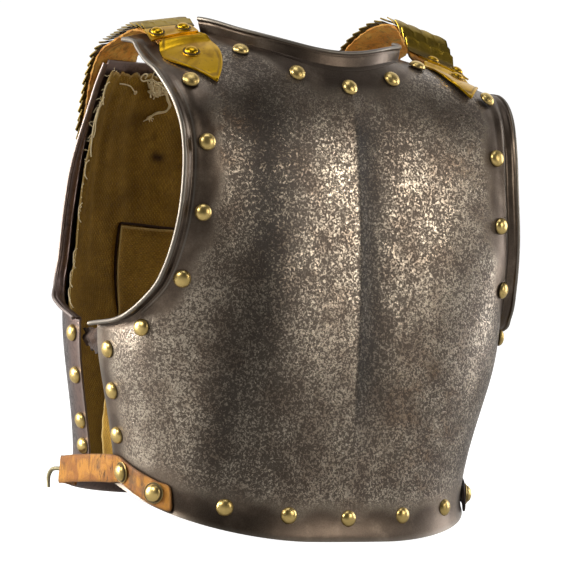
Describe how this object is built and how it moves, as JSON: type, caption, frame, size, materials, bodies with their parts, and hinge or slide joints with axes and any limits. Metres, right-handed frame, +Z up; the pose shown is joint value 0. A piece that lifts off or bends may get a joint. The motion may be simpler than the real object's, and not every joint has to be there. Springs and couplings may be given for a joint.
{
  "type": "cuirass",
  "caption": "Cavalry cuirass: ridged steel breastplate and backplate with turned borders, brass rivets, canvas linings, scaled shoulder straps and a hooked waist strap, worn round the torso.",
  "frame": {"origin": "bottom centre of the bounding box, on the floor the plates stand on", "axes": "+Z up; the breastplate faces -Y and the backplate +Y; the wearer's right side is -X"},
  "size_m": [0.4032, 0.2882, 0.4432],
  "materials": {
    "breast_steel": "dark pewter steel, pitted and mottled, with polished borders",
    "back_steel": "dark purple-brown steel, smoother than the front",
    "brass": "old gold brass with worn bright edges",
    "canvas": "khaki linen canvas, frayed and stained",
    "strap_leather": "orange-tan leather, cracked and darkened at the edges",
    "dark_leather": "old blackened leather",
    "hook_wire": "dull bronze wire"
  },
  "bodies": {
    "root": {"arm_rivet_left_1": "brass", "arm_rivet_left_2": "brass", "arm_rivet_left_3": "brass", "arm_rivet_left_4": "brass", "arm_rivet_right_1": "brass", "arm_rivet_right_2": "brass", "arm_rivet_right_3": "brass", "arm_rivet_right_4": "brass", "back_lining": "canvas", "back_side_rivet_left_1": "brass", "back_side_rivet_left_2": "brass", "back_side_rivet_left_3": "brass", "back_side_rivet_left_4": "brass", "back_side_rivet_right_1": "brass", "back_side_rivet_right_2": "brass", "back_side_rivet_right_3": "brass", "back_side_rivet_right_4": "brass", "backplate": "back_steel", "breast_lining": "canvas", "breastplate": "breast_steel", "leather_scrap": "dark_leather", "neck_rivet_left_2": "brass", "neck_rivet_left_3": "brass", "neck_rivet_middle_1": "brass", "neck_rivet_right_2": "brass", "neck_rivet_right_3": "brass", "shoulder_cross_left": "brass", "shoulder_cross_right": "brass", "shoulder_leather_left": "strap_leather", "shoulder_leather_right": "strap_leather", "shoulder_rivet_left_1": "brass", "shoulder_rivet_right_1": "brass", "shoulder_scales_left": "brass", "shoulder_scales_right": "brass", "shoulder_stud_left": "brass", "shoulder_stud_right": "brass", "shoulder_tongue_left": "brass", "shoulder_tongue_right": "brass", "side_rivet_left_1": "brass", "side_rivet_left_2": "brass", "side_rivet_left_3": "brass", "side_rivet_right_1": "brass", "side_rivet_right_2": "brass", "side_rivet_right_3": "brass", "waist_hook": "hook_wire", "waist_rivet_left_2": "brass", "waist_rivet_left_3": "brass", "waist_rivet_left_4": "brass", "waist_rivet_left_5": "brass", "waist_rivet_middle_1": "brass", "waist_rivet_right_2": "brass", "waist_rivet_right_3": "brass", "waist_rivet_right_4": "brass", "waist_rivet_right_5": "brass", "waist_strap_left": "dark_leather", "waist_strap_right": "strap_leather"}
  },
  "joints": []
}
